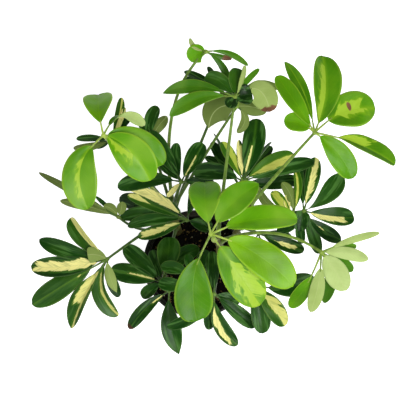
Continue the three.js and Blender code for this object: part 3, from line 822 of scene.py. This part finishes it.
def edit(piece, choose, kind="FACE"):
    """Opens a piece for editing with only the chosen faces, edges or corners selected."""
    hold(piece)
    parts = {"FACE": piece.data.polygons, "EDGE": piece.data.edges, "VERT": piece.data.vertices}
    for group in parts.values():
        for part in group:
            part.select = False
    for part in parts[kind]:
        part.select = choose(part)
    bpy.ops.object.mode_set(mode="EDIT")
    bpy.ops.mesh.select_mode(type=kind)


def close():
    bpy.ops.object.mode_set(mode="OBJECT")


def apply_modifier(piece, kind, **settings):
    hold(piece)
    modifier = piece.modifiers.new(kind.title(), kind)
    for key, value in settings.items():
        setattr(modifier, key, value)
    bpy.ops.object.modifier_apply(modifier=modifier.name)


def bake_place(*pieces):
    """Moves each piece's place, turn and size into its mesh."""
    hold(*pieces)
    bpy.ops.object.transform_apply(location=True, rotation=True, scale=True)


def join_all(pieces, name):
    hold(*pieces)
    bpy.ops.object.join()
    return take(name)


def copy_of(blank, name):
    """A copy of a modelled blank, with a mesh of its own."""
    piece = bpy.data.objects.new(name, blank.data.copy())
    bpy.context.scene.collection.objects.link(piece)
    return piece


def stands_for(piece, node):
    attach(piece, "root")
    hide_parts(node)


def on_curve(points, share):
    """A point of the Bezier curve with these control points."""
    level = list(points)
    while len(level) > 1:
        level = [a.lerp(b, share) for a, b in zip(level, level[1:])]
    return level[0]


def frame_at(points, share, level=UP, roll=0.0):
    """The point, the way along, the way across and the way up of a curve at a share of it."""
    step = 0.002
    before = on_curve(points, max(0.0, share - step))
    after = on_curve(points, min(1.0, share + step))
    along = (after - before).normalized()
    across = along.cross(level).normalized()
    turn = Quaternion(along, roll)
    return on_curve(points, share), along, turn @ across, turn @ across.cross(along)


def metres(point):
    return Vector(point) * MM


def near(share, middle, span):
    """1 at the middle, and falling to 0 within about two spans of it."""
    return math.exp(-(((share - middle) / span) ** 2))


# ---------------------------------------------------------------- blanks

SLAB = 0.02


def model_blade_blank():
    """A thin slab one unit long and wide: its lower face has the second finish."""
    settle()
    bpy.ops.mesh.primitive_grid_add(x_subdivisions=12, y_subdivisions=26, size=1)
    blank = take("blade_blank")
    blank.data.materials.append(LEAF_TOP)
    blank.data.materials.append(LEAF_UNDER)
    apply_modifier(blank, "SOLIDIFY", thickness=SLAB, offset=0.0, material_offset=1)
    blank.data.shade_smooth()
    return blank


def model_rod_blank(name, sides, cuts, finish):
    """A rod one unit long and of unit radius, cut across into short lengths."""
    settle()
    bpy.ops.mesh.primitive_cylinder_add(vertices=sides, radius=1, depth=1, end_fill_type="TRIFAN")
    blank = take(name)
    corners = blank.data.vertices

    def runs_along(part):
        first, last = (corners[i].co.z for i in part.vertices)
        return abs(first - last) > 0.5

    edit(blank, runs_along, "EDGE")
    bpy.ops.mesh.subdivide(number_cuts=cuts)
    close()
    blank.data.materials.append(finish)
    blank.data.shade_smooth()
    return blank


def lay_rod(blank, name, points, radius_at, level=UP):
    """A copy of a rod, laid along a curve with the radius that each share of it has."""
    rod = copy_of(blank, name)
    frames = {}
    for corner in rod.data.vertices:
        share = min(1.0, max(0.0, corner.co.z + 0.5))
        key = round(share, 4)
        if key not in frames:
            frames[key] = (*frame_at(points, share, level), radius_at(share))
        centre, _, across, over, radius = frames[key]
        corner.co = centre + (over * corner.co.x + across * corner.co.y) * radius
    return rod


# ---------------------------------------------------------------- stems


def stem_points(stem):
    """Control points of a stem's curve, from its buried foot to its top."""
    start, bend, end = stem["path"]
    top = stem["top"]
    return [
        metres((*start, STEM_FOOT)),
        metres((*start, (STEM_FOOT + top) / 2)),
        metres((*bend, (SOIL_TOP + 2 * top) / 3)),
        metres((*end, top)),
    ]


def stem_radius(stem, share):
    foot, top = stem["radii"]
    flare = 1 + (ROOT_FLARE - 1) * max(0.0, 1 - 3 * share)
    return (foot + (top - foot) * share) * flare * MM


def share_at_height(points, height):
    """How far along a rising curve it reaches a height, found by halving."""
    low, high = 0.0, 1.0
    for _ in range(30):
        middle = (low + high) / 2
        if on_curve(points, middle).z < height:
            low = middle
        else:
            high = middle
    return (low + high) / 2


def make_stem(side):
    """A woody stem, swollen where a leaf stalk leaves it and ringed by old leaf scars."""
    stem = STEMS[side]
    points = stem_points(stem)
    heights = [leaf["height"] for leaf in LEAVES.values() if leaf["stem"] == side]
    nodes = [share_at_height(points, height * MM) for height in heights]

    def radius_at(share):
        swell = sum(NODE_SWELL * near(share, node, NODE_SPAN) for node in nodes)
        ring = sum(SCAR_SWELL * near(share, scar, SCAR_SPAN) for scar in LEAF_SCARS)
        taper = min(1.0, math.sqrt(max(0.0, 1 - share) / STEM_TIP) + 0.08)
        return stem_radius(stem, share) * (1 + swell + ring) * taper

    rod = lay_rod(STEM_BLANK, f"stem_{side}", points, radius_at, BACK)
    for corner in rod.data.vertices:
        corner.co += Vector((1, 1, 0)) * noise.noise(corner.co * 260) * BARK_ROUGHNESS
    stands_for(rod, f"stem_{side}")


# ---------------------------------------------------------------- leaves


def blade_points(hub, part):
    """Control points of a blade's midrib, from the hub to the tip, arched up and drawn aside."""
    angle = math.radians(part["bearing"])
    reach, rise = part["reach"] * MM, part["rise"] * MM
    level = math.sqrt(reach * reach - rise * rise)
    ahead = Vector((math.cos(angle), math.sin(angle), 0))
    tip = hub + ahead * level + UP * rise
    aside = ahead.cross(UP) * part["sway"] * reach
    return [hub, hub.lerp(tip, 0.5) + UP * part["arch"] * reach + aside, tip]


def half_width(along, part):
    """Half the width of a blade, as a share of its most: a wedge at the foot, and a tip that is round
    at a point of 0.5 and sharp near 1."""
    along = min(0.9999, max(0.0001, along))
    widest, point = part["widest"], part["point"]
    wedge = point * widest / (1 - widest)
    return (along / widest) ** wedge * ((1 - along) / (1 - widest)) ** point


def blade_form(hub, part):
    """How a blade lies: gives the point and the way up at a place across, -1 to 1, and along, 0 to
    1. The halves fold up from the midrib."""
    points = blade_points(hub, part)
    wide = part["width"] * MM / 2
    fold = math.radians(part["fold"])
    soft = SOFT_FOLD * wide
    stations = {}

    def lie(across, along):
        key = round(along, 5)
        if key not in stations:
            share = part["stalk"] + (1 - part["stalk"]) * along
            roll = math.radians(part["roll"] + part["twist"] * along)
            half = max(LEAST_HALF, half_width(along, part)) * wide
            stations[key] = (*frame_at(points, share, UP, roll), half)
        centre, _, side, over, half = stations[key]
        out = across * half
        lift = (math.sqrt(out * out + soft * soft) - soft) * math.sin(fold)
        return centre + side * out * math.cos(fold) + over * lift, over

    return lie


def mark(mesh, tone, brown=0.0, seed=0.0, left=(0, 1, 0), right=(0, 1, 0)):
    """Keeps a part's colour choices on its corners, where the finishes read them."""
    count = len(mesh.vertices)
    kept = {"leaf_look": (tone, brown, seed), "cream_left": left, "cream_right": right}
    for name, values in kept.items():
        layer = mesh.attributes.new(name, "FLOAT_VECTOR", "POINT")
        layer.data.foreach_set("vector", [float(value) for value in values] * count)


def lay_blade(hub, part, chance):
    """One leaflet, copied from the blank and laid from its stalk's end to its tip, and its stalk."""
    lie = blade_form(hub, part)
    wide = part["width"] * MM / 2
    wave = chance.uniform(*WAVE) * wide
    phase = chance.uniform(0, 6.28)
    seed = chance.uniform(0, 40)
    piece = copy_of(BLADE_BLANK, "blade")
    mesh = piece.data
    shares = []
    for corner in mesh.vertices:
        at = corner.co.copy()
        # Rows lie closer together towards both ends, where the outline is round.
        along = 0.5 * (at.y + 0.5) + 0.25 - 0.25 * math.cos(math.pi * (at.y + 0.5))
        side = 2 * at.x
        point, over = lie(side, along)
        ripple = wave * side * side * math.sin(WAVE_ANGLE * along + phase + side)
        ripple += DENT * wide * noise.noise(Vector((side * 2, along * 5, seed)))
        corner.co = point + over * (ripple + at.z / SLAB * BLADE_THICKNESS * MM)
        shares.append((0.5 + 0.5 * side * half_width(along, part), along))
    layer = mesh.uv_layers[0]
    layer.name = "blade"
    for loop in mesh.loops:
        layer.data[loop.index].uv = shares[loop.vertex_index]
    rims = [min(1.0, abs(corner.co.x) * 2) for corner in BLADE_BLANK.data.vertices]
    layer = mesh.attributes.new("blade_rim", "FLOAT_VECTOR", "POINT")
    layer.data.foreach_set("vector", [number for rim in rims for number in (rim, 0.0, 0.0)])
    mark(mesh, part["tone"], part["brown"], seed, part["left"], part["right"])
    points = blade_points(hub, part)
    ends = [on_curve(points, part["stalk"] * share) for share in TWIG_RUN]
    twig = lay_rod(TWIG_BLANK, "twig", ends, lambda share: (TWIG_FOOT - TWIG_TAPER * share) * MM)
    mark(twig.data, part["tone"])
    return [piece, twig]


def stalk_points(entry):
    """Control points of a leaf's stalk, from inside the stem's bark to the hub."""
    stem = STEMS[entry["stem"]]
    axis = stem_points(stem)
    share = share_at_height(axis, entry["height"] * MM)
    on_axis = on_curve(axis, share)
    hub = metres(entry["hub"])
    outward = (hub - on_axis) * Vector((1, 1, 0))
    foot = on_axis + outward.normalized() * stem_radius(stem, share)
    middle = foot.lerp(hub, 0.5) + UP * STALK_ARCH * (hub - foot).length
    return [foot, metres(entry["bend"]) if entry["bend"] else middle, hub]


def make_leaf(name, entry):
    """A compound leaf: stalk, hub and blades, joined as one grown piece."""
    chance = random.Random(name)
    hub = metres(entry["hub"])

    def radius_at(share):
        sheath = SHEATH_SWELL * math.exp(-share / SHEATH_SPAN)
        head = HEAD_SWELL * math.exp(-(1 - share) / HEAD_SPAN)
        return (STALK_FOOT + (STALK_HUB - STALK_FOOT) * share) * (1 + sheath + head) * MM

    stalk = lay_rod(STALK_BLANK, name, stalk_points(entry), radius_at)
    mark(stalk.data, entry["tone"])
    knob = copy_of(HUB_BLANK, "hub")
    for corner in knob.data.vertices:
        corner.co += hub
    mark(knob.data, entry["tone"] * HUB_TONE)
    parts = [stalk, knob]
    for part in entry["blades"]:
        parts += lay_blade(hub, part, chance)
    whole = join_all(parts, name)
    slot = "pale_leaf" if "pale" in name else "young_leaf" if entry["tone"] < 0.3 else "mature_leaf"
    stands_for(whole, name)


def model_hub_blank():
    """The little boss where a leaf's blade stalks meet."""
    settle()
    bpy.ops.mesh.primitive_uv_sphere_add(segments=14, ring_count=8, radius=HUB_RADIUS)
    blank = take("hub_blank")
    blank.scale = (1, 1, 0.75)
    bake_place(blank)
    blank.data.materials.append(LEAF_STALK)
    blank.data.shade_smooth()
    return blank


# ---------------------------------------------------------------- pot and soil


def make_pot():
    """A moulded pot: tapered wall, turned-out rim band and drain holes."""
    settle()
    bpy.ops.mesh.primitive_cone_add(
        vertices=128,
        radius1=POT_BASE,
        radius2=POT_RIM - RIM_STEP,
        depth=POT_HEIGHT,
        end_fill_type="NGON",
        location=(0, 0, POT_HEIGHT / 2),
    )
    pot = take("pot")
    bake_place(pot)
    edit(pot, lambda face: face.normal.z > 0.9)
    bpy.ops.mesh.delete(type="FACE")
    for height in (POT_HEIGHT - RIM_BAND, FOOT_BAND):
        bpy.ops.mesh.select_all(action="SELECT")
        bpy.ops.mesh.bisect(plane_co=(0, 0, height), plane_no=(0, 0, 1))
    close()
    edit(pot, lambda face: face.center.z > POT_HEIGHT - RIM_BAND)
    bpy.ops.mesh.extrude_region_shrink_fatten(TRANSFORM_OT_shrink_fatten={"value": RIM_STEP})
    close()
    edit(pot, lambda face: face.normal.z < -0.9)
    bpy.ops.mesh.inset(thickness=FOOT_RING)
    close()
    apply_modifier(pot, "SOLIDIFY", thickness=POT_WALL, offset=-1.0)
    drills = []
    for i in range(DRAIN_HOLES):
        angle = i / DRAIN_HOLES * 2 * math.pi
        spot = (DRAIN_RING * math.cos(angle), DRAIN_RING * math.sin(angle), 0)
        settle()
        bpy.ops.mesh.primitive_cylinder_add(
            vertices=32, radius=DRAIN_RADIUS, depth=10 * MM, location=spot
        )
        drills.append(take("drill"))
    drill = join_all(drills, "drill")
    apply_modifier(pot, "BOOLEAN", object=drill, operation="DIFFERENCE", solver="EXACT")
    bpy.data.objects.remove(drill)
    apply_modifier(pot, "BEVEL", width=POT_EDGE, segments=3, limit_method="ANGLE")
    pot.data.shade_smooth()
    pot.data.materials.append(POT_PLASTIC)
    stands_for(pot, "pot")


def soil_height(x, y):
    """The height of the soil's top: a low dome with lumps of three sizes."""
    out = min(1.0, math.hypot(x, y) / SOIL_EDGE)
    dome = SOIL_SIDE + (SOIL_HIGH.z - MM - SOIL_SIDE) * (1 - out**3)
    spot = Vector((x, y, 0))
    lumps = sum(noise.noise(spot * closeness) * rise for closeness, rise in SOIL_LUMPS)
    return dome + (lumps - 0.8) * MM


def model_crumb_blank(finish):
    """A rough grain of unit size, with few faces because it is scattered by the hundred."""
    settle()
    bpy.ops.mesh.primitive_ico_sphere_add(subdivisions=1, radius=1)
    blank = take("crumb_blank")
    for corner in blank.data.vertices:
        corner.co *= 1 + 0.35 * noise.noise(corner.co * 3)
    blank.data.materials.append(finish)
    return blank


def make_soil():
    """Potting mix with a lumpy top, and loose crumbs, chips of bark and grit on it."""
    settle()
    bpy.ops.mesh.primitive_cone_add(
        vertices=96,
        radius1=SOIL_EDGE * SOIL_TAPER,
        radius2=SOIL_EDGE,
        depth=SOIL_SIDE - SOIL_LOW.z,
        end_fill_type="NGON",
        location=(0, 0, (SOIL_SIDE + SOIL_LOW.z) / 2),
    )
    soil = take("soil")
    bake_place(soil)
    edit(soil, lambda face: face.normal.z > 0.9)
    for _ in range(SOIL_RINGS):
        bpy.ops.mesh.inset(thickness=SOIL_EDGE / (SOIL_RINGS + 1))
    close()
    for corner in soil.data.vertices:
        if corner.co.z > SOIL_SIDE - MM:
            corner.co.z = soil_height(corner.co.x, corner.co.y)
    soil.data.shade_smooth()
    soil.data.materials.append(SOIL)
    chance = random.Random(11)
    blanks = [model_crumb_blank(finish) for finish in (SOIL_CRUMB, BARK_CHIP, PERLITE)]
    crumbs = []
    for _ in range(CRUMBS):
        spot = math.sqrt(chance.random()) * (SOIL_EDGE - 2 * MM)
        angle = chance.uniform(0, 2 * math.pi)
        x, y = spot * math.cos(angle), spot * math.sin(angle)
        kind = chance.choices((0, 1, 2), CRUMB_MIX)[0]
        size = chance.uniform(*CRUMB_SIZE) * MM * (CHIP_SIZE if kind == 1 else 1)
        crumb = copy_of(blanks[kind], "crumb")
        crumb.location = (x, y, soil_height(x, y) + size * 0.25)
        flat = chance.uniform(0.35, 0.8) if kind else chance.uniform(0.6, 1)
        crumb.scale = (size, size * chance.uniform(0.5, 1), size * flat)
        crumb.rotation_euler = [chance.uniform(0, math.pi) for _ in range(3)]
        crumbs.append(crumb)
    bake_place(*crumbs)
    for blank in blanks:
        bpy.data.objects.remove(blank)
    whole = join_all([soil, *crumbs], "soil")
    stands_for(whole, "soil")


# ---------------------------------------------------------------- floor, light and camera


def make_floor():
    """A wide pale floor that glows a little, so that it stays white in the picture."""
    finish = Finish("floor")
    grain = finish.grain(finish.place(), 12.0, 2.0)
    colour = finish.mix(grain, paint("#f6f6f6"), paint("#fbfbfb"))
    shader = finish.surface(
        base_color=colour, roughness=0.9, emission_color=(1, 1, 1, 1), emission_strength=0.8
    )
    settle()
    bpy.ops.mesh.primitive_plane_add(size=12, location=(0, 0, -0.5 * MM))
    floor = take("floor")
    bake_place(floor)
    floor.data.materials.append(shader)
    floor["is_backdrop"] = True


def add_lamp(name, place, aim, power, size):
    lamp = bpy.data.lights.new(name, "AREA")
    lamp.energy = power
    lamp.shape = "DISK"
    lamp.size = size
    held = bpy.data.objects.new(name, lamp)
    held.location = place
    held.rotation_euler = (Vector(aim) - Vector(place)).to_track_quat("-Z", "Y").to_euler()
    bpy.context.scene.collection.objects.link(held)


def light_the_room():
    """Pale walls and a dimmer ceiling, with a lamp over the front right and a weaker one at the left."""
    world = bpy.data.worlds.new("room")
    world.use_nodes = True
    nodes, links = world.node_tree.nodes, world.node_tree.links
    glow = nodes["Background"]
    glow.inputs["Color"].default_value = (1, 1, 1, 1)
    way = nodes.new("ShaderNodeTexCoord").outputs["Generated"]
    height = nodes.new("ShaderNodeSeparateXYZ")
    links.new(way, height.inputs[0])
    fall = nodes.new("ShaderNodeMapRange")
    fall.inputs["From Max"].default_value = CEILING_FROM
    fall.inputs["To Min"].default_value = WALL_GLOW
    fall.inputs["To Max"].default_value = CEILING_GLOW
    links.new(height.outputs["Z"], fall.inputs["Value"])
    links.new(fall.outputs["Result"], glow.inputs["Strength"])
    bpy.context.scene.world = world
    for name, (place, aim, power, size) in LAMPS.items():
        add_lamp(name, place, aim, power, size)


def set_camera():
    """Ten degrees off straight down, from the front, over the middle of the foliage."""
    seen = bpy.data.cameras.new("camera")
    seen.lens = CAMERA_LENS
    seen.sensor_width = 36
    seen.clip_end = 50
    camera = bpy.data.objects.new("camera", seen)
    back = Vector((0, -math.sin(CAMERA_TILT), math.cos(CAMERA_TILT)))
    camera.location = CAMERA_AIM + back * CAMERA_DISTANCE
    camera.rotation_euler = (CAMERA_TILT, 0, 0)
    bpy.context.scene.collection.objects.link(camera)
    bpy.context.scene.camera = camera
    bpy.context.scene.view_settings.view_transform = "Standard"


# ---------------------------------------------------------------- making

set_camera()
BLADE_BLANK = model_blade_blank()
HUB_BLANK = model_hub_blank()
STEM_BLANK = model_rod_blank("stem_blank", 20, 160, BARK)
STALK_BLANK = model_rod_blank("stalk_blank", 12, 40, LEAF_STALK)
TWIG_BLANK = model_rod_blank("twig_blank", 8, 5, LEAF_STALK)
make_pot()
make_soil()
for side in STEMS:
    make_stem(side)
for name, entry in LEAVES.items():
    make_leaf(name, entry)
for blank in (BLADE_BLANK, HUB_BLANK, STEM_BLANK, STALK_BLANK, TWIG_BLANK):
    bpy.data.objects.remove(blank)
make_floor()
light_the_room()

[[list(corner) for corner in box] for box in (cad_box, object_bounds())]
